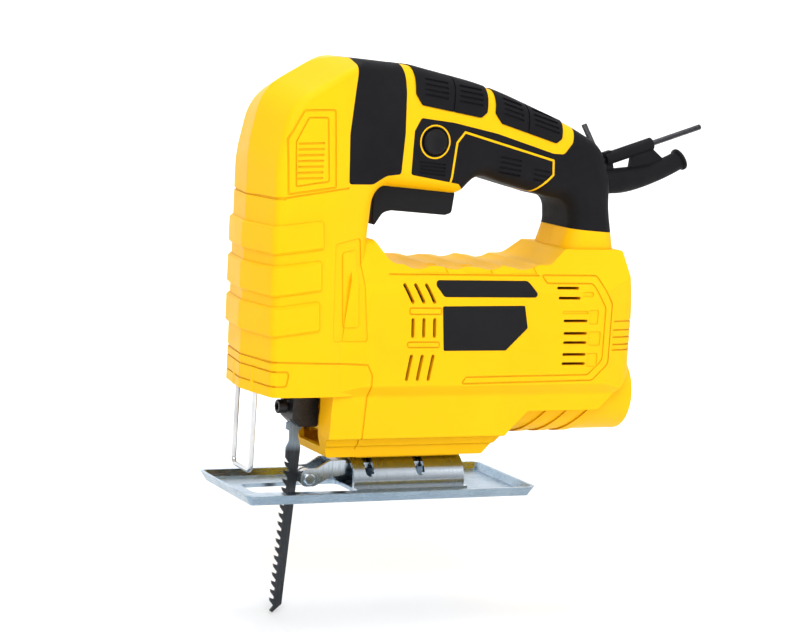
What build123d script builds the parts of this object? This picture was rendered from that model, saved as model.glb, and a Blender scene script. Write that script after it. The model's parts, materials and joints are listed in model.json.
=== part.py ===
from build123d import *
import math
import os

# Corded jigsaw with a D-shaped handle, a swivelling sole and a 100 mm T-shank blade.
#
# Millimetres, +Z up.  Every sub-part is drawn with X measured backwards from the front edge
# of the sole ("station"), Y from the middle plane and Z upwards from the underside of the
# sole.  The cutting direction is -X.  write() then shifts everything so that the origin is
# the centre of the sole's underside.

# ---- driving dimensions ------------------------------------------------------------------
SOLE_LENGTH = 155.0
SOLE_WIDTH = 64.0
SOLE_SHEET = 1.8
SOLE_RIM = 5.0              # height of the turned-up rim
SOLE_CORNER = 1.3           # corner radius of the tray's flat bottom
BEVEL_Z = 5.0               # height of the axis that the sole tilts about
SADDLE_R = 13.2             # outer radius of the half-round saddle on the sole
SADDLE_SHEET = 2.0
SADDLE_FRONT = 63.5
SADDLE_REAR = 123.5
SLOT_STATIONS = (72.3, 99.6)
SLOT_HALF = 2.4

WALL = 2.8                  # thickness of the housing shell
SKIN = 1.5                  # thickness of the soft grip skin laid into the shell
NOSE_BOTTOM = 51.0
NOSE_HALF = 29.6            # half width of the nose at its bottom
HANDLE_HALF = 21.6          # half width of the handle, measured at the nose's bottom height
DRAFT = 1.0                 # degrees that the sides lean in towards the top
MOTOR_HALF = 30.5           # half width of the motor housing
PERIMETER_R = 9.0           # rounding round the outline of the nose and handle
PROW_BACK = 0.17            # how far the nose falls back per mm away from the middle plane
PROW_DROP = 0.22            # how far its crown drops per mm away from the middle plane
PROW_R = 4.0                # rounding of the crease down the front of the nose
PROUD = 1.5                 # how far the bands stand out of the nose
BAND_CHAMFER = 1.1
PORT_Z = 48.0
PORT_R = 20.0
PORT_BORE_R = 16.5
PORT_END = 212.5
PORT_DEPTH = 30.0

PLUNGER_X = 36.9
PLUNGER_R = 4.5
STROKE = 18.0
MOTOR_Z = 82.0
MODULE = 0.9
PINION_TEETH = 8
GEAR_TEETH = 44
GEAR_Z = MOTOR_Z + MODULE * (PINION_TEETH + GEAR_TEETH) / 2
GEAR_FRONT = 47.5
GEAR_REAR = 54.5
CRANK_R = STROKE / 2
CRANK_PIN_R = 3.0
GEAR_SHAFT_R = 3.0
SHAFT_R = 4.0
FIT = 0.03                  # radial clearance of parts that are pushed together
RUN = 0.05                  # radial clearance of parts that turn or slide

BLADE_THICK = 1.3
TOOTH_PITCH = 4.2
TOOTH_DEPTH = 2.3

BUTTON_X = 91.6
BUTTON_Z = 172.2
BUTTON_R = 6.3
BUTTON_RING = 8.2
BUTTON_FACE = -20.6         # Y of the outer face of the lock button

TRIGGER_HALF = 11.0
TRIGGER_PIVOT = (67.5, 153.5)

OUT = "parts"
BIG = 400.0


# ---- drawing helpers ---------------------------------------------------------------------
def outline(points):
    """Closed outline of (u, v, corner radius) points."""
    corners = [(u, v) for u, v, _ in points]
    radii = [r for _, _, r in points]
    return make_face(FilletPolyline(*corners, radius=radii, close=True))


def polygon(points):
    return make_face(Polyline(*points, close=True))


def side_prism(face, y_low, y_high):
    """Prism of an outline drawn in X and Z."""
    return extrude(Plane.XZ.offset(-y_high) * face, amount=y_high - y_low)


def top_prism(face, z_low, z_high, taper=0.0):
    """Prism of an outline drawn in X and Y."""
    return extrude(Plane.XY.offset(z_low) * face, amount=z_high - z_low, taper=taper)


def front_prism(face, x_low, x_high):
    """Prism of an outline drawn in Y and Z."""
    return extrude(Plane.YZ.offset(x_low) * face, amount=x_high - x_low)


def block(x, y, z):
    """Box between two stations, two Y values and two heights."""
    size = (x[1] - x[0], y[1] - y[0], z[1] - z[0])
    middle = ((x[0] + x[1]) / 2, (y[0] + y[1]) / 2, (z[0] + z[1]) / 2)
    return Pos(*middle) * Box(*size)


def rod_x(r, x_low, x_high, y, z):
    return Pos((x_low + x_high) / 2, y, z) * Rot(0, 90, 0) * Cylinder(r, x_high - x_low)


def rod_y(r, y_low, y_high, x, z):
    return Pos(x, (y_low + y_high) / 2, z) * Rot(90, 0, 0) * Cylinder(r, y_high - y_low)


def rod_z(r, z_low, z_high, x, y):
    return Pos(x, y, (z_low + z_high) / 2) * Cylinder(r, z_high - z_low)


def shrunk(face, depth, kind=Kind.ARC):
    """The same outline moved inwards by depth, or outwards where depth is negative."""
    if abs(depth) < 1e-6:
        return face
    return offset(face, amount=-depth, kind=kind)


def soften(solid, edges, radius):
    """Round the edges by the radius, or by a smaller one where the radius doesn't fit."""
    for share in (1.0, 0.8, 0.6, 0.4):
        try:
            return fillet(edges, radius * share)
        except Exception:
            continue
    return solid


def sloped(solid, edges, size):
    """Chamfer the edges by the size, or by a smaller one where the size doesn't fit."""
    for share in (1.0, 0.8, 0.6, 0.4):
        try:
            return chamfer(edges, size * share)
        except Exception:
            continue
    return solid


# ---- outlines of the housing -------------------------------------------------------------
def upper_outline():
    """Side view of the nose, the handle bar and the rear post, as one hook-shaped band."""
    return outline([
        (5.6, NOSE_BOTTOM, 0), (3.3, 166, 60), (9, 193.5, 24), (37, 210.2, 34), (74, 208.4, 120),
        (121, 199.4, 200), (168, 182.5, 60), (187.5, 173, 17), (193.6, 155, 16), (194, 142, 60),
        (201, 106, 40), (202, 98, 0), (168.5, 98, 0), (167.5, 118, 10), (172, 133, 12),
        (170.6, 145.4, 8), (158, 147, 10), (133, 153, 20), (118.5, 157, 10), (109, 147.2, 7),
        (60.6, 150.6, 9), (58.6, 128, 10), (58.6, NOSE_BOTTOM, 0)])


def width_outline(depth):
    """Plan view of the nose and handle: wide at the nose, narrow from the grip backwards."""
    wide = NOSE_HALF - depth
    narrow = HANDLE_HALF - depth
    near = [(-20, -wide, 0), (43.5, -wide, 90), (77.5, -narrow, 90), (230, -narrow, 0)]
    return outline(near + [(x, -y, r) for x, y, r in reversed(near)])


def prow(depth, kind):
    """Nose space with a ridge in the middle plane, falling back and down towards both sides."""
    profile = outline([(6.1, 30, 0), (3.3, 166, 60), (9, 193.5, 24), (37, 210.2, 34), (90, 226, 0),
                       (400, 226, 0), (400, 30, 0)])
    face = Plane.XZ * shrunk(profile, depth, kind)
    left = extrude(face, amount=40, dir=(PROW_BACK * 40, -40, -PROW_DROP * 40))
    return left + mirror(left, about=Plane.XZ)


def upper_body(depth):
    """Nose, handle bar and rear post, moved inwards by depth."""
    kind = Kind.INTERSECTION if depth < 0 else Kind.ARC
    face = shrunk(upper_outline(), depth, kind)
    envelope = top_prism(width_outline(depth), NOSE_BOTTOM - 5, 230, taper=DRAFT)
    solid = side_prism(face, -40, 40) & envelope
    border = (Plane.XZ * face).wires()[0]
    rim = []
    for edge in solid.edges():
        point = edge @ 0.5
        on_border = border.distance_to(Vector(point.X, 0, point.Z)) < 0.1
        foot = point.Z < NOSE_BOTTOM + depth + 1 or (point.X > 160 and point.Z < 98 + depth + 1)
        if abs(point.Y) > 12 and on_border and not foot:
            rim.append(edge)
    solid = soften(solid, rim, PERIMETER_R - depth) & prow(depth, kind)
    crease = [e for e in solid.edges() if 20 < abs((e @ 0.5).Y) < 29.3 and (e @ 0.5).X < 14 and (
        (e @ 0.5).Z > NOSE_BOTTOM + depth + 3) and (e @ 0.5).Z < 175]
    return soften(solid, crease, PROW_R)


def lower_outline():
    """Side view of the motor housing and the foot under it."""
    return outline([
        (43, 60, 0), (43, 30, 3), (45.5, 19.5, 1.5), (129.7, 19.5, 1.5), (139.6, 31.8, 1),
        (149.5, 42, 1.5), (189.8, 42, 1.5), (207, 61, 3), (207, 78, 6), (203.5, 100, 10),
        (199, 122, 2), (166, 122, 2), (157, 114.5, 8), (120, 113.5, 0), (70, 114.2, 8), (60, 128, 3),
        (50, 128, 0)])


def cross_section():
    """Front view of the motor housing: barrel above, narrower foot below."""
    right = [(MOTOR_HALF, 56, 2), (26.5, 50.6, 2), (25.2, 29.6, 1), (21.6, 28.8, 0.6), (20.2, 25.4, 0.6),
             (18.4, 24.8, 0.6), (17.2, 19, 0.4)]
    top = [(21, 125, 4), (MOTOR_HALF, 103, 12)]
    left = [(-y, z, r) for y, z, r in reversed(right)]
    return outline(top + right + left + [(-y, z, r) for y, z, r in reversed(top)])


def motor_plan(depth):
    """Plan view of the motor housing, growing out of the nose and rounded at the rear."""
    end = 207.0 - depth
    near = [(30, -25.8 + depth, 0), (64, -31.6 + depth, 40), (170, -34 + depth, 60), (end, -27 + depth, 9)]
    return outline(near + [(x, -y, r) for x, y, r in reversed(near)])


def lower_body(depth):
    """Motor housing, moved inwards by depth."""
    side = side_prism(shrunk(lower_outline(), depth), -40, 40)
    front = front_prism(shrunk(cross_section(), depth), 30, 230)
    plan = top_prism(motor_plan(depth), 0, 230)
    return side & front & plan


def body(depth):
    return upper_body(depth) + lower_body(depth)


def shell_layer(outer, inner):
    """What lies between the housing body at one depth and the body at a larger depth."""
    return BODIES[outer] - BODIES[inner]


# ---- patterns on the housing, all drawn in side view -------------------------------------
def ribbon(points, width):
    """Band of constant width along straight runs, with round ends and corners."""
    face = None
    for a, b in zip(points, points[1:]):
        length = math.hypot(b[0] - a[0], b[1] - a[1])
        angle = math.degrees(math.atan2(b[1] - a[1], b[0] - a[0]))
        middle = Pos((a[0] + b[0]) / 2, (a[1] + b[1]) / 2)
        piece = middle * Rot(0, 0, angle) * SlotCenterToCenter(length, width)
        face = piece if face is None else face + piece
    return face


def ring_of(points, width):
    """Closed line of constant width just inside an outline."""
    face = outline(points)
    return face - shrunk(face, width)


def both_sides(face, y_inner=8.0):
    """Prisms of one side-view outline through the left and the right wall."""
    return side_prism(face, -45, -y_inner) + side_prism(face, y_inner, 45)


def engraved(face, depth):
    """Material taken from the outer face to the given depth within a side-view outline."""
    return both_sides(face) & shell_layer(-PROUD, depth)


FRONT_BAND = [(47.5, 216, 0), (45.3, 197, 8), (43.2, 175, 20), (44.2, 151.4, 1.5), (58, 151.4, 6),
              (66, 155.4, 6), (74, 156.2, 1.5), (75.2, 176, 20), (74.6, 195, 8), (71.5, 216, 0)]
PAD_FRONT = [(77.5, 216, 0), (79.7, 194.5, 1), (83.5, 189.4, 1.5), (115.5, 184.6, 1.5), (118.6, 187.3, 1.5),
             (119, 197, 4), (121, 216, 0)]
PAD_REAR = [(126, 216, 0), (123.4, 197, 4), (123.2, 187, 1.5), (127, 182.2, 1.5), (158, 173.7, 1.5),
            (160.8, 176, 1), (162, 182, 1), (168, 200, 0)]
SIDE_PANEL = [(80.2, 177, 1), (83.6, 183.3, 1.5), (101, 181.7, 20), (125, 177.3, 20), (157, 168.6, 4),
              (163, 168.4, 3), (167.4, 174, 4), (173, 195, 0), (218, 195, 0), (218, 128.8, 0), (159, 132.4, 0),
              (112, 136, 0), (109.6, 149.5, 1.5), (106, 152.3, 1), (79.6, 156.2, 1.5)]
INLAY = [(101.2, 150.8), (103.5, 172.2), (107.5, 177.3), (157.2, 165.2), (157.6, 158.2), (147.5, 148)]
NOSE_PANEL = [(12.8, 145.6, 1), (11.2, 171.4, 2), (18.9, 185.4, 2), (35.2, 186.2, 1.5), (37.6, 149.4, 1)]
NOSE_PANEL_IN = [(16.6, 149.4, 1), (15.4, 170.5, 2), (21.4, 182.1, 2), (31.7, 182.4, 1.5), (33.8, 152.2, 1)]
GEAR_RECESS = [(38.8, 123.4, 1.5), (52.2, 126.4, 1.5), (57.4, 77.5, 1.5), (40.2, 77.1, 1.5)]
GEAR_PANEL = [(45.2, 84, 1.5), (42.9, 119.3, 1.5), (50.3, 120.5, 1.5), (52.7, 84.2, 1.5)]
GUARD_PANEL = [(-6, 55.8, 0), (17.6, 55.8, 2), (18.8, 63.6, 2), (-6, 63.6, 0)]
LABEL = [(90, 107, 2), (142.5, 107, 3), (149.3, 99, 1.5), (96.5, 99, 3)]
NAME_PLATE = [(96, 94.6, 0.8), (141, 95, 0.8), (143.4, 84, 0.8), (132, 73, 0.8), (98, 73, 0.8)]
REAR_FRAME = [(150, 110, 1), (182, 110, 3), (191, 96, 4), (191, 66, 4), (182, 57.5, 3), (108, 56.5, 1),
              (111, 60.4, 1), (179, 61, 3), (186.5, 68, 4), (186.5, 94, 4), (179, 105.5, 3), (153, 105.5, 1)]


def raised_bands():
    """Three broad bands with sloping edges that wrap round the front of the nose."""
    skin = BODIES[-PROUD].shells()[0]
    bands = None
    for low, high in ((117.6, 131.0), (98.0, 112.4), (79.0, 93.2)):
        face = outline([(-8, low, 0), (8, low, 4), (33, low + 3.2, 1.5), (32, high + 3.2, 1.5),
                        (7, high, 4), (-8, high, 0)])
        band = side_prism(face, -45, 45) & BODIES[-PROUD]
        border = (Plane.XZ * face).wires()[0]
        edges = []
        for edge in band.edges():
            point = edge @ 0.5
            if border.distance_to(Vector(point.X, 0, point.Z)) < 0.05 and skin.distance_to(point) < 0.05:
                edges.append(edge)
        band = sloped(band, edges, BAND_CHAMFER)
        bands = band if bands is None else bands + band
    return bands


def grip_lines(start, end, count, pitch):
    """Parallel grooves, the first from start to end and the others below it."""
    face = None
    for i in range(count):
        drop = i * pitch
        line = ribbon([(start[0], start[1] - drop), (end[0], end[1] - drop)], 0.9)
        face = line if face is None else face + line
    return face


def shallow_marks():
    """Grooves that decorate the yellow shell."""
    marks = ring_of(NOSE_PANEL, 0.9) + ring_of(NOSE_PANEL_IN, 0.7)
    marks += outline(GEAR_RECESS) - outline(GEAR_PANEL)
    marks += grip_lines((17.6, 169.6), (29.8, 170.2), 7, 2.7)
    marks += ribbon([(8, 67.8), (58.2, 66.4), (61, 61), (60, 24)], 0.8)
    marks += ribbon([(2, 143.6), (12, 144.3), (44, 149.6)], 0.8)
    marks += ring_of(GUARD_PANEL, 0.8)
    marks += ring_of(REAR_FRAME, 0.7)
    marks += ribbon([(68, 109.4), (149, 109.4)], 0.7)
    for low, high in ((90.4, 94), (74.4, 77.6)):
        marks += ring_of([(78.5, low, 1.2), (96, low, 1.2), (95.5, high, 1.2), (78, high, 1.2)], 0.6)
    marks += ribbon([(163, 91.7), (176.2, 91.7)], 1.6)
    for front, rear, low, high in ((173.4, 179.4, 99.4, 101.8), (177.9, 182.9, 85.8, 93),
                                   (178.2, 185, 75.2, 82.2), (178.2, 184, 64.6, 71.4)):
        marks += outline([(front, low, 0.5), (rear, low, 1), (rear, high, 1), (front, high, 0.5)])
    return marks


def finger_facets():
    """Shallow slanting pockets in the upper edges of the motor housing, beside the finger grooves."""
    face = None
    for front in (81.7, 105.9, 130.4):
        pocket = polygon([(front, 116), (front + 14.9, 116), (front + 17.9, 110.2), (front + 3.2, 110.2)])
        face = pocket if face is None else face + pocket
    return both_sides(face, 20) & shell_layer(-PROUD, 0.5)


def rear_lines():
    """Grooves round the rear end of the motor housing, above the dust tube."""
    lines = None
    for z in (87.2, 82.8, 79.2, 75.5, 72.7):
        slab = block((192.6, 215), (-40, 40), (z - 0.35, z + 0.35))
        lines = slab if lines is None else lines + slab
    return lines & shell_layer(-PROUD, 0.6)


def front_lines():
    """Grooves round the front of the nose."""
    lines = None
    for z in (67.5, 63.2, 56.2, 143.6):
        slab = block((-10, 12), (-40, 40), (z - 0.4, z + 0.4))
        lines = slab if lines is None else lines + slab
    return lines & shell_layer(-PROUD, 0.6)


def vent_slots():
    """Cooling slots: three rows of three at the front and seven flat ones at the rear."""
    slots = None
    for column in range(3):
        shift = 5.8 * column
        rows = (((75.3 + shift, 104.6), (79.9 + shift, 96.6)),
                ((80.6 + shift, 88), (81 + shift, 80.2)),
                ((81 + shift, 70.4), (79.2 + shift, 59.4)))
        for top, foot in rows:
            slot = ribbon([top, foot], 1.7)
            slots = slot if slots is None else slots + slot
    for z, front, rear in ((103.7, 158.5, 171), (98.8, 159.5, 172), (87.5, 163.3, 177), (81.3, 163.8, 177.2),
                           (76.7, 164, 177.3), (70.8, 164, 177.3), (66.2, 164, 177.3)):
        slots += ribbon([(front + 0.7, z), (rear - 0.7, z)], 1.4)
    return slots


def cut_regions():
    """Outlines where soft skin replaces the outer layer of the shell."""
    panel = outline(SIDE_PANEL) - ribbon(INLAY, 1.1)
    ring = Pos(BUTTON_X, BUTTON_Z) * (Circle(BUTTON_RING) - Circle(BUTTON_RING - 0.8))
    return {"front_band": outline(FRONT_BAND), "top_pad_front": outline(PAD_FRONT),
            "top_pad_rear": outline(PAD_REAR), "side_panel": panel - ring}


def halves(solid):
    """Left half at -Y and right half at +Y."""
    left = solid & block((-BIG, BIG), (-BIG, 0), (-BIG, BIG))
    right = solid & block((-BIG, BIG), (0, BIG), (-BIG, BIG))
    return {"left": left, "right": right}


def dust_tube(radius):
    return rod_x(radius, 142, PORT_END, 0, PORT_Z)


def finger_scallops():
    """Four shallow finger grooves in the motor housing under the handle."""
    cuts = None
    for station in (84, 103, 122, 141):
        groove = rod_y(16, -45, 45, station, 113.8 + 14.2)
        cuts = groove if cuts is None else cuts + groove
    return cuts


def spiral_ribs():
    """Three slanting ribs on the dust tube under the motor."""
    ribs = None
    for station in (150, 162, 174):
        face = polygon([(station, 24), (station + 6, 24), (station + 24, 46), (station + 18, 46)])
        rib = side_prism(face, -30, 30)
        ribs = rib if ribs is None else ribs + rib
    return ribs & rod_x(PORT_R + 0.8, 142, 200, 0, PORT_Z)


BODIES = {depth: body(depth) for depth in (-PROUD, -0.6, 0, 0.5, 0.6, SKIN, WALL)}


# ---- housing -----------------------------------------------------------------------------
SCREW_SPOTS = ((60, 188), (52, 140), (143, 160), (184, 140), (148, 106), (52, 70.5), (70, 40), (128, 40))
SCREW_HEAD_R = 3.4
FRONT_BEARING = (59.5, 66.5)
REAR_BEARING = (172.0, 179.0)
BEARING_R = 11.0
REAR_BEARING_R = 9.5
RUBBER_R = 11.5
BUSH_R = 8.0
LOWER_BUSH = (74.6, 83.0)
UPPER_BUSH = (158.0, 168.0)
BASE_SCREW_R = 2.0


def inner_ribs():
    """Walls inside the shell that carry the bearings, the bushes and the gear shaft."""
    cavity = BODIES[WALL]
    front = block((60.5, 64.5), (-40, 40), (40, 130)) - rod_x(BEARING_R + FIT, 58, 68, 0, MOTOR_Z)
    front -= rod_x(GEAR_SHAFT_R + FIT, 50, 70, 0, GEAR_Z)
    rear = block((173.5, 177.5), (-40, 40), (40, 118)) - rod_x(RUBBER_R + FIT, 170, 180, 0, MOTOR_Z)
    lower = block((0, 55), (-40, 40), (77, 81)) - rod_z(BUSH_R + FIT, 70, 90, PLUNGER_X, 0)
    lower -= block((44, 60), (-12, 12), (70, 90))
    upper = block((0, 56), (-40, 40), (161, 165)) - rod_z(BUSH_R + FIT, 155, 172, PLUNGER_X, 0)
    foot = block((50, 128), (-40, 40), (27, 30)) & lower_body(WALL)
    return ((front + rear + lower + upper) & cavity) + foot


def screw_bosses():
    """Posts for the housing screws, from wall to wall."""
    posts = None
    for x, z in SCREW_SPOTS:
        post = rod_y(5.2, -40, 40, x, z)
        posts = post if posts is None else posts + post
    return posts & BODIES[WALL]


def screw_holes():
    """Counterbores for the screw heads in the right half, and pilot holes in the left half."""
    holes = None
    for x, z in SCREW_SPOTS:
        seat = seat_y(x, z)
        hole = rod_y(1.7, 0, 40, x, z) + rod_y(1.45 + FIT, -14, 0.1, x, z)
        hole += rod_y(SCREW_HEAD_R + 0.3, seat, 45, x, z)
        holes = hole if holes is None else holes + hole
    return holes


def seat_y(x, z):
    """Depth from the middle plane to the seat of a housing screw's head."""
    if z > 122:
        return 13.5 if x > 60 else 20.0
    return 21.5 if z < 45 else 24.5


def housing_screws():
    """Pan-head screws that draw the two halves together from the right."""
    screws = []
    for x, z in SCREW_SPOTS:
        seat = seat_y(x, z)
        head = rod_y(SCREW_HEAD_R, seat + 0.02, seat + 2.4, x, z)
        head = soften(head, [e for e in head.edges() if e.center().Y > seat + 2], 0.9)
        head -= side_prism(Pos(x, z) * RegularPolygon(1.5, 6), seat + 1, seat + 3)
        screws += (head + rod_y(1.45, -13, seat + 0.5, x, z)).solids()
    return Compound(screws)


def plate(points):
    """Thin plate let into the left side of the shell, flush with it."""
    return side_prism(shrunk(outline(points), 0.05), -45, -8) & shell_layer(0, 0.6)


def nose_mouth():
    """Opening in the bottom of the nose for the blade clamp, and the notch behind it."""
    mouth = block((12, 45.6), (-12.5, 12.5), (40, NOSE_BOTTOM + WALL + 2))
    duct = block((40, 60), (-12.05, 12.05), (24, 49.85))
    return mouth + duct


def guard_holes():
    return rod_z(1.2 + FIT, 40, 62, GUARD_X, -GUARD_Y) + rod_z(1.2 + FIT, 40, 62, GUARD_X, GUARD_Y)


GUARD_X = 9.8
GUARD_Y = 10.6


def guard_bosses():
    return rod_z(2.8, 51, 63, GUARD_X, -GUARD_Y) + rod_z(2.8, 51, 63, GUARD_X, GUARD_Y)


def base_bosses():
    """Posts above the foot for the two screws that clamp the sole, and their seat below."""
    seat = block((66, 122), (-8, 8), (17, 22)) - rod_x(SADDLE_R + 0.3, 60, 130, 0, BEVEL_Z)
    for x in SLOT_STATIONS:
        seat += rod_z(5.2, 20, 34, x, 0)
    return seat


def base_screw_holes():
    holes = [rod_z(BASE_SCREW_R + FIT, 10, 30.1, x, 0) for x in SLOT_STATIONS]
    return holes[0] + holes[1]


def housing():
    """Both halves of the yellow shell and the soft skins laid into them."""
    hull = BODIES[0] + raised_bands() + dust_tube(PORT_R) + spiral_ribs() - finger_scallops()
    hull -= BODIES[WALL]
    hull -= rod_x(PORT_BORE_R, PORT_END - PORT_DEPTH, PORT_END + 1, 0, PORT_Z)
    hull -= engraved(shallow_marks(), 0.5)
    hull -= front_lines() + rear_lines() + finger_facets()
    for points in (LABEL, NAME_PLATE):
        hull -= side_prism(outline(points), -45, -8) & shell_layer(-PROUD, 0.6)
    hull += inner_ribs() + screw_bosses() + guard_bosses() + base_bosses()
    hull -= both_sides(vent_slots())
    hull -= nose_mouth() + guard_holes() + trigger_slot() + gland_hole() + base_screw_holes()
    skins = {}
    for name, face in cut_regions().items():
        layer = side_prism(face, -45, 45) & shell_layer(0, SKIN)
        hull -= layer
        skins[name] = layer
    skins["top_pad_front"] = raised_pad(PAD_FRONT, (99.8, 100.6), -0.13)
    skins["top_pad_rear"] = raised_pad(PAD_REAR, (141.6, 142.4), -0.27)
    grip = grip_lines((128, 166), (139, 164.4), 4, 2.4) + grip_lines((147, 160.6), (155, 159.4), 3, 2.4)
    grip += grip_lines((84.5, 162.4), (97.5, 161.4), 4, 1.7)
    skins["side_panel"] -= engraved(grip, 0.6)
    bore = rod_y(BUTTON_R + 0.4, -45, 0, BUTTON_X, BUTTON_Z)
    skins["side_panel"] -= bore + gland_hole()
    hull -= bore
    hull -= trigger_pin_hole()
    holes = screw_holes()
    pieces = {"housing_" + side: half for side, half in halves(hull - holes).items()}
    for name, layer in skins.items():
        for side, half in halves(layer - holes).items():
            pieces[name + "_" + side] = half
    return pieces


def raised_pad(points, split, slope):
    """Soft pad on top of the handle, standing a little proud, with lengthwise grooves."""
    pad = side_prism(outline(points), -45, 45) & shell_layer(-0.6, SKIN)
    x_low = min(p[0] for p in points if p[1] < 200) + 4
    x_high = max(p[0] for p in points if p[1] < 190) - 3
    middle = (split[0] + split[1]) / 2
    z_mid = sum(p[1] for p in points[3:6]) / 3 + (6.5 if slope > -0.2 else 9.5)
    grooves = ribbon([(split[0], 170), (split[0] + 1.2, 214)], 0.8)
    for a, b in ((x_low + 1, middle - 3.5), (middle + 3.5, x_high)):
        for i in range(4):
            lift = z_mid - 3.6 + 2.4 * i
            grooves += ribbon([(a, lift + slope * (a - middle)), (b, lift + slope * (b - middle))], 0.9)
    return pad - (both_sides(grooves, 3.0) & shell_layer(-PROUD, 0))


# ---- trigger, lock button and switch -----------------------------------------------------
def trigger_slot():
    return block((63.6, 109.6), (-TRIGGER_HALF - 0.5, TRIGGER_HALF + 0.5), (144, 158.5))


def trigger_pin_hole():
    return rod_y(1.5 + FIT, -16, 16, *TRIGGER_PIVOT)


def trigger():
    """Paddle that turns about a pin at its front end."""
    face = outline([(64.6, 149, 1), (64.6, 156.6, 2.5), (70.5, 156.6, 2), (73, 152, 1), (107.8, 150.6, 0.6),
                    (108.6, 146.6, 0.6), (107.6, 137.4, 2.2), (104, 136.3, 2), (75, 138, 6), (70.6, 137, 5),
                    (66.6, 130.8, 0.8), (65, 131.4, 0.5)])
    solid = side_prism(face, -TRIGGER_HALF, TRIGGER_HALF)
    rim = [e for e in solid.edges() if abs(abs(e.center().Y) - TRIGGER_HALF) < 0.1 and e.center().Z < 147]
    solid = soften(solid, rim, 2.2)
    return solid - rod_y(1.5 + RUN, -20, 20, *TRIGGER_PIVOT)


def trigger_pin():
    return rod_y(1.5, -15.5, 15.5, *TRIGGER_PIVOT)


def lock_button():
    cap = rod_y(BUTTON_R, BUTTON_FACE, -8, BUTTON_X, BUTTON_Z)
    rim = [e for e in cap.edges() if abs(e.center().Y - BUTTON_FACE) < 0.1]
    cap = soften(cap, rim, 1.2)
    dish = Pos(BUTTON_X, BUTTON_FACE - 17.2, BUTTON_Z) * Sphere(18)
    return cap - dish


def switch_body():
    case = block((78, 104), (-9, 9), (157.5, 165.4))
    return soften(case, case.edges(), 0.8)


def capacitor():
    case = block((112, 130), (-6, 6), (166, 176))
    return soften(case, case.edges(), 1.0)


# ---- motor and gear ----------------------------------------------------------------------
def spur_wheel(teeth, x_low, x_high, y, z, phase):
    """Spur wheel with straight-flanked teeth and generous backlash."""
    pitch_r = MODULE * teeth / 2
    root_r = pitch_r - 1.1 * MODULE
    tip_r = pitch_r + 0.8 * MODULE
    step = 2 * math.pi / teeth
    corners = []
    for i in range(teeth):
        middle = i * step + phase
        for r, share in ((root_r, -0.30), (pitch_r, -0.20), (tip_r, -0.10),
                         (tip_r, 0.10), (pitch_r, 0.20), (root_r, 0.30)):
            angle = middle + share * step
            corners.append((y + r * math.cos(angle), z + r * math.sin(angle)))
    return front_prism(polygon(corners), x_low, x_high)


def drive_gear():
    """Large wheel that carries the crank pin, with lightening pockets."""
    half_tooth = math.pi / GEAR_TEETH
    wheel = spur_wheel(GEAR_TEETH, GEAR_FRONT, GEAR_REAR, 0, GEAR_Z, -math.pi / 2 + half_tooth)
    wheel -= rod_x(GEAR_SHAFT_R + RUN, 40, 60, 0, GEAR_Z)
    wheel -= rod_x(CRANK_PIN_R + 0.01, 40, 60, 0, GEAR_Z - CRANK_R)
    for y in (-11, 11):
        wheel -= rod_x(3.2, 40, 60, y, GEAR_Z + 3)
    return wheel


def crank_pin():
    return rod_x(CRANK_PIN_R, 45.0, GEAR_REAR, 0, GEAR_Z - CRANK_R)


def gear_shaft():
    return rod_x(GEAR_SHAFT_R, 46.2, 64.5, 0, GEAR_Z)


def armature_shaft():
    """Motor shaft with the pinion cut on its front end."""
    pinion = spur_wheel(PINION_TEETH, 46.5, 55.5, 0, MOTOR_Z, math.pi / 2)
    return pinion + rod_x(2.6, 55, 59.5, 0, MOTOR_Z) + rod_x(SHAFT_R, 59.3, 182, 0, MOTOR_Z)


def armature_core():
    """Laminated core with slots along it."""
    core = rod_x(15.5, 98, 138, 0, MOTOR_Z) - rod_x(SHAFT_R + FIT, 90, 150, 0, MOTOR_Z)
    for i in range(12):
        angle = math.radians(30 * i + 15)
        y = 14.6 * math.cos(angle)
        z = 14.6 * math.sin(angle)
        core -= rod_x(1.5, 90, 150, y, MOTOR_Z + z)
    return core


def armature_windings():
    """Copper end turns at both ends of the core."""
    rings = None
    for low, high in ((90.5, 97.9), (138.1, 145.5)):
        ring = rod_x(13.4, low, high, 0, MOTOR_Z) - rod_x(SHAFT_R + FIT, low - 1, high + 1, 0, MOTOR_Z)
        ring = soften(ring, ring.edges(), 1.6)
        rings = ring if rings is None else rings + ring
    return rings


def commutator():
    """Copper ring with a groove between each pair of segments."""
    ring = rod_x(10, 147, 161, 0, MOTOR_Z) - rod_x(SHAFT_R + FIT, 140, 170, 0, MOTOR_Z)
    for i in range(24):
        angle = 15 * i
        groove = Pos(154, 0, MOTOR_Z) * Rot(angle, 0, 0) * Pos(0, 0, 10) * Box(15, 0.4, 1.2)
        ring -= groove
    return ring


def cooling_fan():
    """Fan with a back plate and curved blades."""
    fan = rod_x(23.5, 86.4, 88, 0, MOTOR_Z) + rod_x(7, 79, 88, 0, MOTOR_Z)
    for i in range(11):
        blade = Pos(83, 0, MOTOR_Z) * Rot(i * 360 / 11, 0, 0) * Pos(0, 0, 14.6) * Rot(0, 0, 24) * Box(7, 1.2, 16.4)
        fan += blade
    return fan - rod_x(SHAFT_R + FIT, 70, 95, 0, MOTOR_Z)


def stator_core():
    """Laminated field frame with two poles."""
    frame = rod_x(25.5, 100, 136, 0, MOTOR_Z) - rod_x(21, 95, 140, 0, MOTOR_Z)
    poles = block((100, 136), (-11, 11), (MOTOR_Z - 23, MOTOR_Z + 23))
    frame += poles & rod_x(22, 100, 136, 0, MOTOR_Z)
    return frame - rod_x(16.3, 95, 140, 0, MOTOR_Z)


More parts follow.
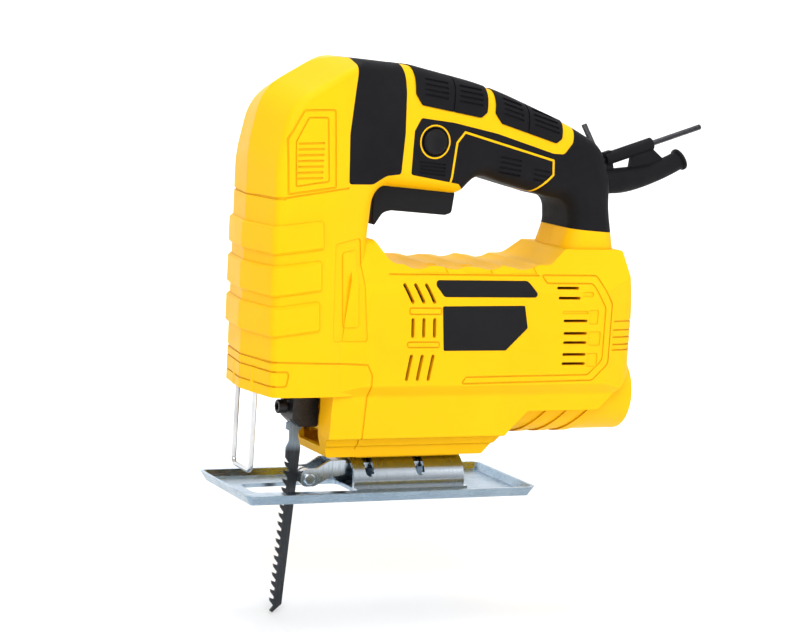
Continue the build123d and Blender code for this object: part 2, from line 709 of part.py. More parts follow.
def field_coils():
    """Two bundles of enamelled wire, one at each side between the poles."""
    coils = None
    for side in (-1, 1):
        bundle = block((96, 140), (13, 20), (MOTOR_Z - 9, MOTOR_Z + 9)) & (
            rod_x(20.7, 90, 150, 0, MOTOR_Z) - rod_x(16.6, 90, 150, 0, MOTOR_Z))
        coil = bundle if side > 0 else mirror(bundle, about=Plane.XZ)
        coils = coil if coils is None else coils + coil
    return coils


def ball_bearing(x_low, x_high, outer, inner):
    """Two steel rings with balls between them, joined into one piece by a shield."""
    middle = (x_low + x_high) / 2
    race = (outer - inner) / 2
    ring = rod_x(outer, x_low, x_high, 0, MOTOR_Z) - rod_x(inner, x_low - 1, x_high + 1, 0, MOTOR_Z)
    for low, high in ((x_low, x_low + 0.6), (x_high - 0.6, x_high)):
        band = rod_x(outer - race * 0.35, low, high, 0, MOTOR_Z) - rod_x(inner + race * 0.35, low, high, 0, MOTOR_Z)
        ring -= band
    return ring


def front_bearing():
    return ball_bearing(*FRONT_BEARING, BEARING_R, SHAFT_R + FIT)


def rear_bearing():
    return ball_bearing(*REAR_BEARING, REAR_BEARING_R, SHAFT_R + FIT)


def bearing_rubber():
    return rod_x(RUBBER_R, 172.5, 178.5, 0, MOTOR_Z) - rod_x(REAR_BEARING_R + 0.01, 170, 180, 0, MOTOR_Z)


def brush_parts():
    """Brush holders, carbon brushes and springs, one of each at both sides."""
    parts = {"brush_holders": None, "carbon_brushes": None, "brush_springs": None}
    for side in (-1, 1):
        holder = block((149.5, 158.5), (11.2, 25), (MOTOR_Z - 5, MOTOR_Z + 5))
        holder -= block((150.9, 157.1), (11, 23.8), (MOTOR_Z - 3.1, MOTOR_Z + 3.1))
        brush = block((151, 157), (10.3, 18), (MOTOR_Z - 3, MOTOR_Z + 3))
        spring = coil_spring(2.2, 0.5, 4, 5.4)
        spring = Pos(154, 18.2, MOTOR_Z) * Rot(-90, 0, 0) * spring
        for name, solid in (("brush_holders", holder), ("carbon_brushes", brush), ("brush_springs", spring)):
            solid = solid if side > 0 else mirror(solid, about=Plane.XZ)
            parts[name] = solid if parts[name] is None else Compound([*parts[name].solids(), *solid.solids()])
    return parts


def coil_spring(radius, wire, turns, height):
    """Helical spring standing on the XY plane."""
    path = Helix(pitch=(height - 2 * wire) / turns, height=height - 2 * wire, radius=radius)
    profile = Plane(origin=path @ 0, z_dir=path % 0) * Circle(wire / 2)
    return Pos(0, 0, wire) * sweep(profile, path=path)


# ---- plunger, blade clamp and blade ------------------------------------------------------
YOKE_Z = GEAR_Z - CRANK_R


def plunger_rod():
    rod = rod_z(PLUNGER_R, 41, 178, PLUNGER_X, 0)
    tip = [e for e in rod.edges() if e.center().Z > 170]
    return soften(rod, tip, 1.0)


def yoke():
    """Plate with a cross slot that the crank pin drives, clamped on the plunger."""
    hub = block((31.2, 43), (-7.5, 7.5), (YOKE_Z - 6.5, YOKE_Z + 6.5))
    plate = front_prism(outline([(-17, YOKE_Z - 6.5, 3), (17, YOKE_Z - 6.5, 3), (17, YOKE_Z + 6.5, 3),
                                 (-17, YOKE_Z + 6.5, 3)]), 41.6, 44.6)
    slot = front_prism(outline([(-13.2, YOKE_Z - 3.4, 3.3), (13.2, YOKE_Z - 3.4, 3.3), (13.2, YOKE_Z + 3.4, 3.3),
                                (-13.2, YOKE_Z + 3.4, 3.3)]), 42.2, 50)
    return hub + plate - slot - rod_z(PLUNGER_R + 0.01, 80, 120, PLUNGER_X, 0)


def guide_bush(low, high):
    return rod_z(BUSH_R, low, high, PLUNGER_X, 0) - rod_z(PLUNGER_R + RUN, low - 1, high + 1, PLUNGER_X, 0)


def wiper_seal():
    """Felt ring under the lower bush that keeps dust off the plunger."""
    return rod_z(BUSH_R, 72, 74.5, PLUNGER_X, 0) - rod_z(PLUNGER_R + 0.1, 70, 80, PLUNGER_X, 0)


CLAMP_Z = (32.6, 52.0)
CLAMP_X = (31.5, 44.8)
CLAMP_SCREWS = ((26.2, 41.6), (28.6, 47.2))


def clamp_block():
    """Steel block on the plunger's end, with a slot for the blade's shank."""
    side = outline([(CLAMP_X[0], CLAMP_Z[1], 1), (CLAMP_X[1], CLAMP_Z[1], 1), (CLAMP_X[1], CLAMP_Z[0], 0.8),
                    (35.5, CLAMP_Z[0], 0.8), (CLAMP_X[0], 36.2, 0.8)])
    solid = side_prism(side, -7, 7)
    solid -= rod_z(PLUNGER_R + 0.01, 41, 60, PLUNGER_X, 0)
    solid -= block((33, 40), (-BLADE_THICK / 2 - 0.03, BLADE_THICK / 2 + 0.03), (30, 41))
    for _, z in CLAMP_SCREWS:
        solid -= rod_x(2.0 + 0.01, 30, 33, 0, z)
    return solid


def clamp_screws():
    """Two socket-head screws that press on the blade's shank."""
    screws = []
    for front, z in CLAMP_SCREWS:
        head = rod_x(3.4, front, front + 4.2, 0, z)
        head = soften(head, [e for e in head.edges() if abs(e.center().X - front) < 0.1], 0.5)
        head -= front_prism(Pos(0, z) * RegularPolygon(1.75, 6, major_radius=False), front - 0.1, front + 2)
        if z > 45:
            head = rod_x(2.7, front, front + 2.9, 0, z) - front_prism(
                Pos(0, z) * RegularPolygon(1.3, 6, major_radius=False), front - 0.1, front + 1.6)
        screws += (head + rod_x(2.0, front + 1.5, 32.2, 0, z)).solids()
    return Compound(screws)


def blade_front(z):
    """Station of the tooth tips at a height."""
    return 32.0 - (14 - z) * 0.055


def saw_blade():
    """T-shank blade with up-cutting teeth on its front edge."""
    count = 17
    top = 13.5
    corners = [(33.4, 39.5), (38, 39.5), (38.2, 34.2), (39.6, 33.6), (39.6, 30.4), (38, 29.6), (38, 27),
               (39.6, 21.4), (39.4, 18)]
    corners += [(34.6, -56), (29.9, -59.9), (28.7, -59.1)]
    tips = []
    for i in range(count):
        z = top - TOOTH_PITCH * i
        x = blade_front(z)
        tips += [(x + TOOTH_DEPTH, z + 0.2), (x, z + 1.1), (x + 0.35, z - 0.6), (x + TOOTH_DEPTH, z - 3.1)]
    corners += reversed(tips)
    corners += [(32.2, 16.5), (32.2, 21.4), (33.6, 24.5), (33.4, 29.6), (31.6, 30.4), (31.6, 33.6), (33.2, 34.2)]
    return side_prism(polygon(corners), -BLADE_THICK / 2, BLADE_THICK / 2)


def wire_guard():
    """U of steel wire in front of the blade."""
    path = FilletPolyline((GUARD_X, -GUARD_Y, 62), (GUARD_X, -GUARD_Y, 12.6), (GUARD_X, GUARD_Y, 12.6),
                          (GUARD_X, GUARD_Y, 62), radius=3.2)
    profile = Plane(origin=path @ 0, z_dir=path % 0) * Circle(1.2)
    return sweep(profile, path=path)


# ---- sole --------------------------------------------------------------------------------
def sole_plate():
    """Sheet tray with its four edges turned up and out."""
    flare = 3.4
    inset_x = SOLE_LENGTH / 2 - flare
    inset_y = SOLE_WIDTH / 2 - flare
    slope = math.degrees(math.atan(flare / SOLE_RIM))
    middle = SOLE_LENGTH / 2
    outer_face = Pos(middle, 0) * RectangleRounded(2 * inset_x, 2 * inset_y, SOLE_CORNER)
    outer = top_prism(outer_face, 0, SOLE_RIM, taper=-slope)
    outer = soften(outer, outer.faces().sort_by(Axis.Z)[0].edges(), SOLE_CORNER * 0.8)
    inner_face = Pos(middle, 0) * RectangleRounded(2 * inset_x - 1.2, 2 * inset_y - 1.2, SOLE_CORNER - 0.6)
    inner = top_prism(inner_face, SOLE_SHEET, SOLE_RIM + 2, taper=-slope)
    mouth = Polyline((13, -9.5), (30, -10.5), (66, -12.5), (66, 12.5), (30, 10.5), (13, 9.5), close=True)
    mouth = fillet(make_face(mouth).vertices(), 4)
    return outer - inner - top_prism(mouth, -1, 3)


def saddle():
    """Half-round bracket on the sole with its two slots and spread feet."""
    span = (SADDLE_FRONT, SADDLE_REAR)
    tube = rod_x(SADDLE_R, *span, 0, BEVEL_Z)
    wall = tube & block(span, (-20, 20), (BEVEL_Z, 30))
    wall += block(span, (-SADDLE_R, SADDLE_R), (SOLE_SHEET, BEVEL_Z))
    feet = block(span, (-17, 17), (SOLE_SHEET, SOLE_SHEET + 1.6))
    solid = wall + feet
    inner = rod_x(SADDLE_R - SADDLE_SHEET, 60, 130, 0, BEVEL_Z)
    inner += block((60, 130), (-SADDLE_R + SADDLE_SHEET, SADDLE_R - SADDLE_SHEET), (0, BEVEL_Z))
    solid -= inner
    for x in SLOT_STATIONS:
        solid -= rod_y(SLOT_HALF, -20, 20, x, 10.9)
        solid -= block((x - SLOT_HALF, x + SLOT_HALF), (-20, 20), (10.9, 30))
    return solid


def support_bracket():
    """Curved clamp strip inside the saddle whose front end is the fork of the guide roller."""
    r = SADDLE_R - SADDLE_SHEET - 0.3
    strip = (rod_x(r, 60, 121, 0, BEVEL_Z) - rod_x(r - 2.2, 55, 125, 0, BEVEL_Z)) & block(
        (60, 121), (-6, 6), (BEVEL_Z + 5, 30))
    for x in SLOT_STATIONS:
        strip -= rod_z(BASE_SCREW_R + FIT, 5, 30, x, 0)
    ear_face = outline([(38, 3.2, 3.4), (45.5, 3.2, 3.4), (54, 7.6, 3), (61.5, 8.6, 1), (61.5, 15.8, 1),
                        (53, 15.6, 3), (46, 11.8, 2), (38, 11.4, 3.4)])
    ears = side_prism(ear_face, -6.6, -5.0) + side_prism(ear_face, 5.0, 6.6)
    bridge = block((55, 61.5), (-6.6, 6.6), (13.4, 15.4))
    fork = ears + bridge - rod_y(ROLLER_PIN_R + 0.01, -10, 10, ROLLER_X, ROLLER_Z)
    return strip + fork


ROLLER_X = 42.4
ROLLER_Z = 7.0
ROLLER_PIN_R = 1.8
ROLLER_R = 4.3


def guide_roller():
    """Grooved steel roller that the blade's back rests on."""
    roller = rod_y(ROLLER_R, -4.7, 4.7, ROLLER_X, ROLLER_Z)
    groove = rod_y(ROLLER_R + 2, -0.9, 0.9, ROLLER_X, ROLLER_Z) - rod_y(ROLLER_R - 1.3, -2, 2, ROLLER_X, ROLLER_Z)
    return roller - groove - rod_y(ROLLER_PIN_R + RUN, -6, 6, ROLLER_X, ROLLER_Z)


def roller_pin():
    pin = rod_y(ROLLER_PIN_R, -7, 7, ROLLER_X, ROLLER_Z)
    for side in (-1, 1):
        head = rod_y(2.9, 6.63, 8.0, ROLLER_X, ROLLER_Z)
        head = soften(head, [e for e in head.edges() if e.center().Y > 7.9], 0.7)
        pin += head if side > 0 else mirror(head, about=Plane.XZ)
    return pin


def base_screws():
    """Two hexagon-socket screws that clamp the sole from below."""
    screws = []
    under = BEVEL_Z + SADDLE_R - SADDLE_SHEET - 0.3 - 2.2
    for x in SLOT_STATIONS:
        head = rod_z(3.5, under - 4.0, under - 0.8, x, 0)
        head -= top_prism(Pos(x, 0) * RegularPolygon(2, 6, major_radius=False), under - 5, under - 2)
        screws += (head + rod_z(BASE_SCREW_R, under - 1.2, 30, x, 0)).solids()
    return Compound(screws)


def dust_duct():
    """Ribbed mouth of the dust channel behind the blade clamp."""
    duct = block((46.4, 59), (-12, 12), (31, 49.8)) - block((40, 60), (-10.4, 10.4), (33, 48.2))
    for z in (35, 39, 43):
        duct += block((46.4, 48.6), (-10.6, 10.6), (z, z + 1.2))
    return duct


# ---- cord entry and key ------------------------------------------------------------------
CORD_ANGLE = 5.0            # degrees that the cord leaves the handle above level
CORD_START = (184.0, 152.84)
CORD_BEND = (203.0, 154.5)
CORD_END = (243.0, 167.0)
CORD_R = 3.6
BOOT_R = (6.3, 6.3, 5.7, 5.2, 4.9, 4.8)
KEY_BEND = (195.4, 164.3)
KEY_ANGLE = 18.5
KEY_LEAN = 25.0
KEY_LONG = 61.0
KEY_SHORT = 20.5
KEY_R = 1.44                # half the distance across the corners of the 2.5 mm hexagon


def cord_path():
    """Centre line of the cord entry: a straight run and a curve upwards."""
    angle = math.radians(CORD_ANGLE)
    start = (CORD_START[0], 0, CORD_START[1])
    bend = (CORD_BEND[0], 0, CORD_BEND[1])
    straight = Line(start, bend)
    curve = TangentArc(bend, (CORD_END[0], 0, CORD_END[1]), tangent=(math.cos(angle), 0, math.sin(angle)))
    return straight, curve


def gland_hole():
    """Hole through the rear of the handle for the cord boot."""
    straight, _ = cord_path()
    start = Plane(origin=straight @ 0, z_dir=straight % 0)
    return extrude(start.offset(2.6) * Circle(BOOT_R[0] + FIT), amount=14)


def cord_boot():
    """Rubber sleeve that keeps the cord from kinking, with the clip for the key on top."""
    straight, curve = cord_path()
    start = Plane(origin=straight @ 0, z_dir=straight % 0)
    sleeve = extrude(start * Circle(7.4), amount=2.5) + extrude(start * Circle(BOOT_R[0]), amount=straight.length)
    places = [(i / 5, r) for i, r in enumerate(BOOT_R)]
    sections = [Plane(origin=curve @ t, z_dir=curve % t) * Circle(r) for t, r in places]
    sleeve += loft(sections)
    end = Plane(origin=curve @ 1, z_dir=curve % 1)
    lip = extrude(end.offset(-1.8) * Circle(5.8), amount=1.8)
    sleeve += soften(lip, lip.edges(), 0.5)
    sleeve += key_clip()
    bore = extrude(start.offset(-1) * Circle(CORD_R), amount=straight.length + 1)
    bore += sweep(Plane(origin=curve @ 0, z_dir=curve % 0) * Circle(CORD_R), path=curve)
    bore += extrude(end * Circle(CORD_R), amount=2)
    return sleeve - bore


def key_frame():
    """Plane whose normal runs along the long leg of the key and whose origin is its bend."""
    angle = math.radians(KEY_ANGLE)
    return Plane(origin=(KEY_BEND[0], 0, KEY_BEND[1]), x_dir=(0, 1, 0), z_dir=(math.cos(angle), 0, math.sin(angle)))


def key_clip():
    """Half-round finger and closed loop that hold the long leg of the key."""
    frame = key_frame()
    roof = extrude(frame.offset(2.8) * Circle(3.3), amount=28)
    below = extrude(frame.offset(2.8) * Pos(0, 3) * Rectangle(8, 6), amount=16.5)
    roof -= below if below.center().Z < roof.center().Z else mirror(below, about=Plane.XY)
    web = side_prism(polygon([(213.5, 168.5), (224.5, 172), (230.8, 167.4), (231.5, 159.5), (212, 156)]), -1.6, 1.6)
    foot = side_prism(polygon([(196.5, 168.6), (200.6, 170), (203.5, 158), (197.5, 157)]), -1.6, 1.6)
    clip = roof + web + foot - extrude(frame * Circle(KEY_R + RUN), amount=40)
    return clip - extrude(frame.offset(-3) * Circle(2.4), amount=5.6)


def hex_key():
    """Bent hexagon key for the clamp screws and the sole screws."""
    frame = key_frame()
    lean = math.radians(KEY_LEAN)
    up = frame.y_dir if frame.y_dir.Z > 0 else -frame.y_dir
    corner = frame.origin
    tip = corner + up * (KEY_SHORT * math.cos(lean)) + Vector(0, 1, 0) * (KEY_SHORT * math.sin(lean))
    path = FilletPolyline(tip, corner, corner + frame.z_dir * KEY_LONG, radius=2.6)
    return sweep(Plane(origin=path @ 0, z_dir=path % 0) * RegularPolygon(KEY_R, 6), path=path)


def write(parts):
    """Move each sub-part to the frame of the sole's centre and write it."""
    os.makedirs(OUT, exist_ok=True)
    for name, solid in parts.items():
        moved = Pos(-SOLE_LENGTH / 2, 0, 0) * solid
        export_step(moved, os.path.join(OUT, name + ".step"))


def main():
    parts = housing()
    parts |= {
        "trigger": trigger(), "trigger_pin": trigger_pin(), "lock_button": lock_button(),
        "switch_body": switch_body(), "capacitor": capacitor(),
        "drive_gear": drive_gear(), "crank_pin": crank_pin(), "gear_shaft": gear_shaft(),
        "armature_shaft": armature_shaft(), "armature_core": armature_core(),
        "armature_windings": armature_windings(), "commutator": commutator(),
        "cooling_fan": cooling_fan(), "stator_core": stator_core(), "field_coils": field_coils(),
        "front_bearing": front_bearing(), "rear_bearing": rear_bearing(), "bearing_rubber": bearing_rubber(),
        "plunger_rod": plunger_rod(), "yoke": yoke(), "lower_bush": guide_bush(*LOWER_BUSH),
        "upper_bush": guide_bush(*UPPER_BUSH), "wiper_seal": wiper_seal(), "blade_clamp": clamp_block(),
        "clamp_screws": clamp_screws(), "saw_blade": saw_blade(), "wire_guard": wire_guard(),
        "sole_plate": sole_plate(), "saddle": saddle(), "support_bracket": support_bracket(),
        "guide_roller": guide_roller(), "roller_pin": roller_pin(), "base_screws": base_screws(),
        "dust_duct": dust_duct(), "housing_screws": housing_screws(), "rating_label": plate(LABEL),
        "name_plate": plate(NAME_PLATE), "cord_boot": cord_boot(), "hex_key": hex_key(),
    }
    parts |= brush_parts()
    write(parts)


main()
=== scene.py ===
import json
import math

import bmesh
import bpy
from mathutils import Matrix, Vector


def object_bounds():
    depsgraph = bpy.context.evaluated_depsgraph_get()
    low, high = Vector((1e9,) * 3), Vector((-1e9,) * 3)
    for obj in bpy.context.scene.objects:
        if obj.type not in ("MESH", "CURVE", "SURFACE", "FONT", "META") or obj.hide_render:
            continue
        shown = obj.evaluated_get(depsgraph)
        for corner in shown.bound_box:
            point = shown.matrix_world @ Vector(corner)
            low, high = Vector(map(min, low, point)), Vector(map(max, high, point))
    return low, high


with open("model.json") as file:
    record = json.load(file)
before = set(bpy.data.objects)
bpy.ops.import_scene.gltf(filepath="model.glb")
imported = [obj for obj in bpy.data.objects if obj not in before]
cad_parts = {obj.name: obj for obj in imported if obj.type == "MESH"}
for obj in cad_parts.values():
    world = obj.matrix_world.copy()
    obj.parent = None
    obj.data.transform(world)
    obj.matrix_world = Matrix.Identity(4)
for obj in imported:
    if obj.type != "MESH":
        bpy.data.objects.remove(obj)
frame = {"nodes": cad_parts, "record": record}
CAD_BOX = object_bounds()
NODES = frame["nodes"]
scene = bpy.context.scene
scene.view_settings.view_transform = "Standard"
scene.view_settings.look = "None"

PLASTIC_EDGE = 0.0004       # metres: radius that moulded edges are shaded with
METAL_EDGE = 0.0002
BLADE_EDGE = 0.00012
GROOVE_SHADE_REACH = 0.0022       # how near a wall must be for a surface to count as enclosed and get painted groove shade
STREAK_SHARE = 0.55         # weight of the streaks against the smudges in worked metal
LACQUER_TOP = 0.0208        # height where the blade's black lacquer ends
FLOOR_GAP = 0.0006          # between the floor and the tip of the blade
CAMERA_ANGLES = (-26.66, 7.60, 3.85)    # degrees: azimuth, elevation and roll
CAMERA_PLACE = (-0.5084, -1.0350, 0.2399)
LENS = 107.7
AIM = (0.02, 0, 0.09)       # middle of the tool, where the lamps point


# ---- node helpers ------------------------------------------------------------------------
class Shader:
    """Small wrapper that builds one procedural material in object coordinates (metres)."""

    def __init__(self, name, color, rough, metal=0.0, spec=0.5):
        self.mat = bpy.data.materials.new(name)
        self.mat.use_nodes = True
        self.tree = self.mat.node_tree
        self.bsdf = self.tree.nodes["Principled BSDF"]
        self.bsdf.inputs["Base Color"].default_value = (*color, 1)
        self.bsdf.inputs["Roughness"].default_value = rough
        self.bsdf.inputs["Metallic"].default_value = metal
        self.bsdf.inputs["Specular IOR Level"].default_value = spec
        self.coord = self.tree.nodes.new("ShaderNodeTexCoord")
        self.height = None

    def round_edges(self, radius):
        """Softens the look of sharp edges, as a moulded or tumbled part has them."""
        b = self.tree.nodes.new("ShaderNodeBevel")
        b.samples = 4
        b.inputs["Radius"].default_value = radius
        self.height = b.outputs["Normal"]
        self.link(self.height, self.bsdf.inputs["Normal"])

    def paint_groove_shade(self, socket, groove_shade):
        """Paints shade in grooves: mixes towards a darker colour where ambient occlusion finds the
        surface enclosed, in place of the shade that falls there.
        """
        ao = self.tree.nodes.new("ShaderNodeAmbientOcclusion")
        ao.samples = 6
        ao.inputs["Distance"].default_value = GROOVE_SHADE_REACH
        fac = self.ramp(ao.outputs["AO"], [(0.45, 1.0), (0.85, 0.0)])
        mix = self.tree.nodes.new("ShaderNodeMix")
        mix.data_type = "RGBA"
        self.link(fac, mix.inputs["Factor"])
        self.link(socket, mix.inputs["A"])
        mix.inputs["B"].default_value = (*groove_shade, 1)
        return mix.outputs["Result"]

    def node(self, kind, **inputs):
        n = self.tree.nodes.new(kind)
        for key, value in inputs.items():
            n.inputs[key].default_value = value
        return n

    def link(self, a, b):
        self.tree.links.new(a, b)

    def mapped(self, scale):
        m = self.node("ShaderNodeMapping", Scale=scale)
        self.link(self.coord.outputs["Object"], m.inputs["Vector"])
        return m.outputs["Vector"]

    def noise(self, scale, detail=3.0, roughness=0.5, stretch=(1, 1, 1)):
        n = self.node("ShaderNodeTexNoise", Scale=scale, Detail=detail, Roughness=roughness)
        self.link(self.mapped(stretch), n.inputs["Vector"])
        return n.outputs["Fac"]

    def ramp(self, fac, stops):
        r = self.tree.nodes.new("ShaderNodeValToRGB")
        while len(r.color_ramp.elements) < len(stops):
            r.color_ramp.elements.new(0.5)
        for e, (pos, value) in zip(r.color_ramp.elements, stops):
            e.position = pos
            e.color = (*value, 1) if isinstance(value, tuple) else (value, value, value, 1)
        self.link(fac, r.inputs["Fac"])
        return r.outputs["Color"]

    def color(self, socket):
        self.link(socket, self.bsdf.inputs["Base Color"])

    def rough(self, socket):
        self.link(socket, self.bsdf.inputs["Roughness"])

    def bump(self, fac, strength, distance):
        b = self.node("ShaderNodeBump", Strength=strength, Distance=distance)
        self.link(fac, b.inputs["Height"])
        if self.height is not None:
            self.link(self.height, b.inputs["Normal"])
        self.height = b.outputs["Normal"]
        self.link(self.height, self.bsdf.inputs["Normal"])


def plastic(name, color, dark, rough_low, rough_high, grain, depth, spec=0.5, groove_shade=None):
    """Moulded plastic: spark-eroded grain, slow tone changes and uneven gloss, with painted shade in
    enclosed grooves when a groove colour is given.
    """
    s = Shader(name, color, (rough_low + rough_high) / 2, spec=spec)
    s.round_edges(PLASTIC_EDGE)
    tone = s.noise(18.0, 4.0, 0.6)
    shade = s.ramp(tone, [(0.3, dark), (0.62, color)])
    # painted shade: enclosed surfaces are darkened towards the groove colour
    s.color(s.paint_groove_shade(shade, groove_shade) if groove_shade else shade)
    s.rough(s.ramp(s.noise(60.0, 5.0, 0.65), [(0.3, rough_low), (0.7, rough_high)]))
    s.bump(s.noise(grain, 2.0, 0.55), 0.35, depth)
    s.bump(s.noise(grain * 0.18, 3.0, 0.5), 0.12, depth * 3)
    return s.mat


def metal(name, color, dark, rough_low, rough_high, streaks, metallic=1.0):
    """Worked metal: fine streaks along one direction, smudges and a few darker patches."""
    s = Shader(name, color, (rough_low + rough_high) / 2, metal=metallic)
    s.round_edges(METAL_EDGE)
    lines = s.noise(220.0, 4.0, 0.7, stretch=streaks)
    cloud = s.noise(45.0, 4.0, 0.6)
    weighted_cloud = s.tree.nodes.new("ShaderNodeMath")
    weighted_cloud.operation = "MULTIPLY"
    s.link(cloud, weighted_cloud.inputs[0])
    weighted_cloud.inputs[1].default_value = 1 - STREAK_SHARE
    wear = s.tree.nodes.new("ShaderNodeMath")
    wear.operation = "MULTIPLY_ADD"
    s.link(lines, wear.inputs[0])
    wear.inputs[1].default_value = STREAK_SHARE
    s.link(weighted_cloud.outputs[0], wear.inputs[2])
    s.color(s.ramp(wear.outputs[0], [(0.36, dark), (0.6, color)]))
    s.rough(s.ramp(wear.outputs[0], [(0.35, rough_high), (0.65, rough_low)]))
    s.bump(lines, 0.25, 0.00003)
    return s.mat


def blade_finish():
    """Black lacquer that ends at a ground line, with a bare blue-grey shank above it."""
    s = Shader("blade_steel", (0.05, 0.055, 0.06), 0.4, metal=0.8)
    s.round_edges(BLADE_EDGE)
    split = s.tree.nodes.new("ShaderNodeSeparateXYZ")
    s.link(s.coord.outputs["Object"], split.inputs[0])
    line = s.ramp(split.outputs["Z"], [(LACQUER_TOP, 0.0), (LACQUER_TOP + 0.0001, 1.0)])
    lines = s.noise(300.0, 4.0, 0.7, stretch=(8, 8, 0.5))
    lacquer = s.ramp(lines, [(0.3, (0.022, 0.024, 0.028)), (0.7, (0.05, 0.055, 0.062))])
    bare = s.ramp(lines, [(0.3, (0.17, 0.23, 0.30)), (0.7, (0.30, 0.38, 0.46))])
    mix = s.tree.nodes.new("ShaderNodeMix")
    mix.data_type = "RGBA"
    s.link(line, mix.inputs["Factor"])
    s.link(lacquer, mix.inputs["A"])
    s.link(bare, mix.inputs["B"])
    s.color(mix.outputs["Result"])
    s.rough(s.ramp(s.noise(90.0, 4.0), [(0.3, 0.3), (0.7, 0.48)]))
    s.bump(lines, 0.2, 0.00002)
    return s.mat


# name: (colour, darker tone, lowest and highest roughness, grain scale, grain depth, more)
PLASTICS = {
    # the yellow's darker orange groove colour is painted shade for its grooves and recesses
    "yellow_plastic": ((0.93, 0.505, 0.001), (0.90, 0.48, 0.001), 0.42, 0.54, 2600.0, 0.00003,
                       {"spec": 0.12, "groove_shade": (0.80, 0.40, 0.0)}),
    "grip_rubber": ((0.0065, 0.0065, 0.0085), (0.0045, 0.0045, 0.006), 0.52, 0.70, 3200.0, 0.00006,
                    {"spec": 0.12}),
    "black_plastic": ((0.0075, 0.0075, 0.009), (0.005, 0.005, 0.0062), 0.38, 0.52, 2400.0, 0.00003,
                      {"spec": 0.15}),
    "carbon": ((0.03, 0.03, 0.03), (0.018, 0.018, 0.018), 0.5, 0.7, 2600.0, 0.00005, {}),
    "felt": ((0.6, 0.58, 0.5), (0.48, 0.46, 0.4), 0.85, 0.98, 4200.0, 0.0003, {}),
    "rubber": ((0.02, 0.02, 0.02), (0.012, 0.012, 0.012), 0.6, 0.75, 2600.0, 0.00005, {}),
}
# name: (colour, darker tone, lowest and highest roughness, streak stretch in X, Y and Z, more)
METALS = {
    "zinc_steel": ((0.58, 0.64, 0.70), (0.36, 0.42, 0.48), 0.14, 0.30, (7, 0.4, 0.4), {}),
    "sole_steel": ((0.33, 0.43, 0.53), (0.24, 0.33, 0.42), 0.20, 0.34, (0.5, 4, 4), {}),
    "polished_steel": ((0.72, 0.73, 0.74), (0.5, 0.5, 0.51), 0.14, 0.3, (8, 8, 0.3), {}),
    "black_steel": ((0.045, 0.045, 0.05), (0.02, 0.02, 0.022), 0.32, 0.55, (4, 4, 4), {"metallic": 0.8}),
    "sintered_steel": ((0.36, 0.36, 0.36), (0.2, 0.2, 0.2), 0.35, 0.55, (5, 5, 5), {}),
    "laminated_steel": ((0.3, 0.3, 0.31), (0.12, 0.12, 0.12), 0.3, 0.5, (30, 0.3, 0.3), {}),
    "copper": ((0.75, 0.33, 0.14), (0.5, 0.2, 0.08), 0.22, 0.4, (12, 1, 1), {}),
    "bronze": ((0.62, 0.42, 0.18), (0.4, 0.27, 0.12), 0.3, 0.5, (5, 5, 5), {}),
}


def build_materials():
    """One material per slot of the record, and a bluer steel for the sole."""
    mats = {name: plastic(name, *row, **more) for name, (*row, more) in PLASTICS.items()}
    mats.update({name: metal(name, *row, **more) for name, (*row, more) in METALS.items()})
    mats["blade_steel"] = blade_finish()
    return mats


# ---- finish on the CAD nodes -------------------------------------------------------------
def finish_nodes(mats):
    """Gives each CAD node the material of its slot."""
    slots = {entry["node"]: entry["material_slot"] for entry in frame["record"]["subparts"]}
    for name, obj in NODES.items():
        mat = mats["sole_steel" if name == "sole_plate" else slots[name]]
        if not obj.data.materials:
            obj.data.materials.append(mat)
        for i in range(len(obj.material_slots)):
            obj.material_slots[i].material = mat


# ---- camera, light and floor -------------------------------------------------------------
def add_camera():
    """Camera at the front left, slightly above the tool and tilted a little."""
    azimuth, elevation, roll = (math.radians(v) for v in CAMERA_ANGLES)
    right = Vector((math.cos(azimuth), math.sin(azimuth), 0))
    back = Vector((math.sin(azimuth) * math.cos(elevation), -math.cos(azimuth) * math.cos(elevation),
                   math.sin(elevation)))
    up = back.cross(right)
    side = right * math.cos(roll) + up * math.sin(roll)
    top = up * math.cos(roll) - right * math.sin(roll)
    data = bpy.data.cameras.new("camera")
    data.lens = LENS
    data.sensor_width = 36.0
    data.clip_start = 0.01
    data.clip_end = 20
    cam = bpy.data.objects.new("camera", data)
    cam.matrix_world = Matrix.Translation(CAMERA_PLACE) @ Matrix((side, top, back)).transposed().to_4x4()
    scene.collection.objects.link(cam)
    scene.camera = cam


def add_light(name, place, target, size, power):
    """White rectangular lamp at a place, turned towards a target."""
    data = bpy.data.lights.new(name, "AREA")
    data.shape = "RECTANGLE"
    data.size, data.size_y = size
    data.energy = power
    obj = bpy.data.objects.new(name, data)
    obj.location = place
    obj.rotation_euler = (Vector(place) - Vector(target)).to_track_quat("Z", "Y").to_euler()
    scene.collection.objects.link(obj)


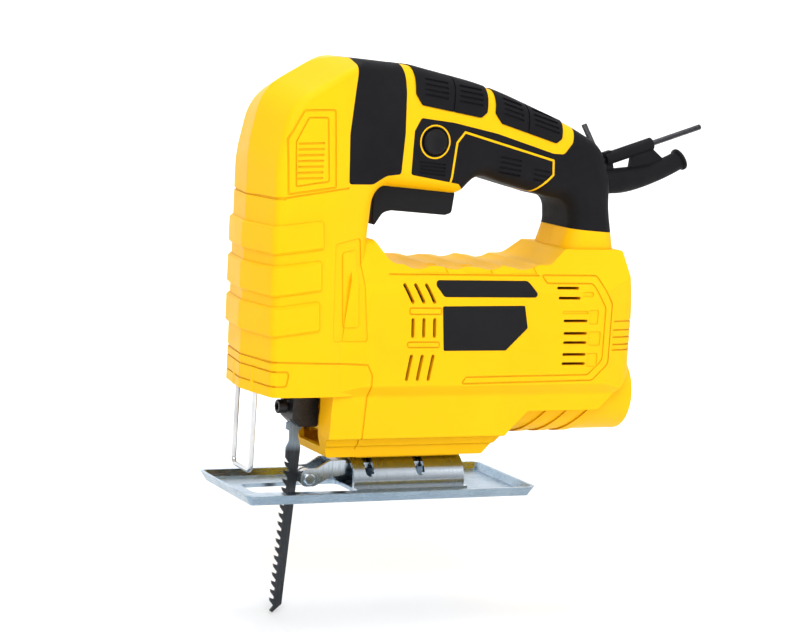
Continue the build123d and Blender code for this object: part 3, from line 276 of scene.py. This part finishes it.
def add_floor():
    """White paper that lies flat under the tool and sweeps up behind it."""
    low = CAD_BOX[0][2] - FLOOR_GAP
    half_width = 14
    rows = [(-14, 0.0), (-1.6, 0.0), (0.9, 0.0), (1.5, 0.05), (1.9, 0.25), (2.1, 0.7), (2.15, 2.6)]
    mesh = bpy.data.meshes.new("floor")
    bm = bmesh.new()
    left = [bm.verts.new((-half_width, y, low + z)) for y, z in rows]
    right = [bm.verts.new((half_width, y, low + z)) for y, z in rows]
    for i in range(len(rows) - 1):
        bm.faces.new((left[i], right[i], right[i + 1], left[i + 1]))
    bm.to_mesh(mesh)
    bm.free()
    for poly in mesh.polygons:
        poly.use_smooth = True
    floor = bpy.data.objects.new("floor", mesh)
    scene.collection.objects.link(floor)
    s = Shader("floor_paper", (0.91, 0.91, 0.91), 0.9, spec=0.1)
    s.color(s.ramp(s.noise(3.0, 3.0), [(0.3, (0.90, 0.90, 0.90)), (0.7, (0.92, 0.92, 0.92))]))
    mesh.materials.append(s.mat)


def add_world():
    """Soft white studio: bright overhead and grey towards the horizon, so metal has contrast."""
    world = bpy.data.worlds.new("studio")
    world.use_nodes = True
    tree = world.node_tree
    coord = tree.nodes.new("ShaderNodeTexCoord")
    split = tree.nodes.new("ShaderNodeSeparateXYZ")
    ramp = tree.nodes.new("ShaderNodeValToRGB")
    ramp.color_ramp.elements[0].position = 0.02
    ramp.color_ramp.elements[0].color = (0.30, 0.31, 0.33, 1)
    ramp.color_ramp.elements[1].position = 0.35
    ramp.color_ramp.elements[1].color = (1, 1, 1, 1)
    tree.links.new(coord.outputs["Generated"], split.inputs[0])
    tree.links.new(split.outputs["Z"], ramp.inputs["Fac"])
    tree.links.new(ramp.outputs["Color"], tree.nodes["Background"].inputs["Color"])
    tree.nodes["Background"].inputs["Strength"].default_value = 0.75
    scene.world = world


mats = build_materials()
finish_nodes(mats)
add_camera()
add_world()
add_light("key", (-0.5, -1.3, 1.2), AIM, (0.9, 0.9), 17)
add_light("fill", (1.3, -1.2, 0.5), AIM, (0.7, 1.2), 6)
add_light("front", (-1.5, -0.7, 0.8), AIM, (0.6, 0.6), 2.5)
add_light("top", (0.1, 0.3, 1.6), AIM, (1.0, 0.8), 10)
add_light("backdrop", (0.3, 0.45, 0.9), (0.9, 1.9, 0.4), (2.4, 0.6), 26)
add_floor()
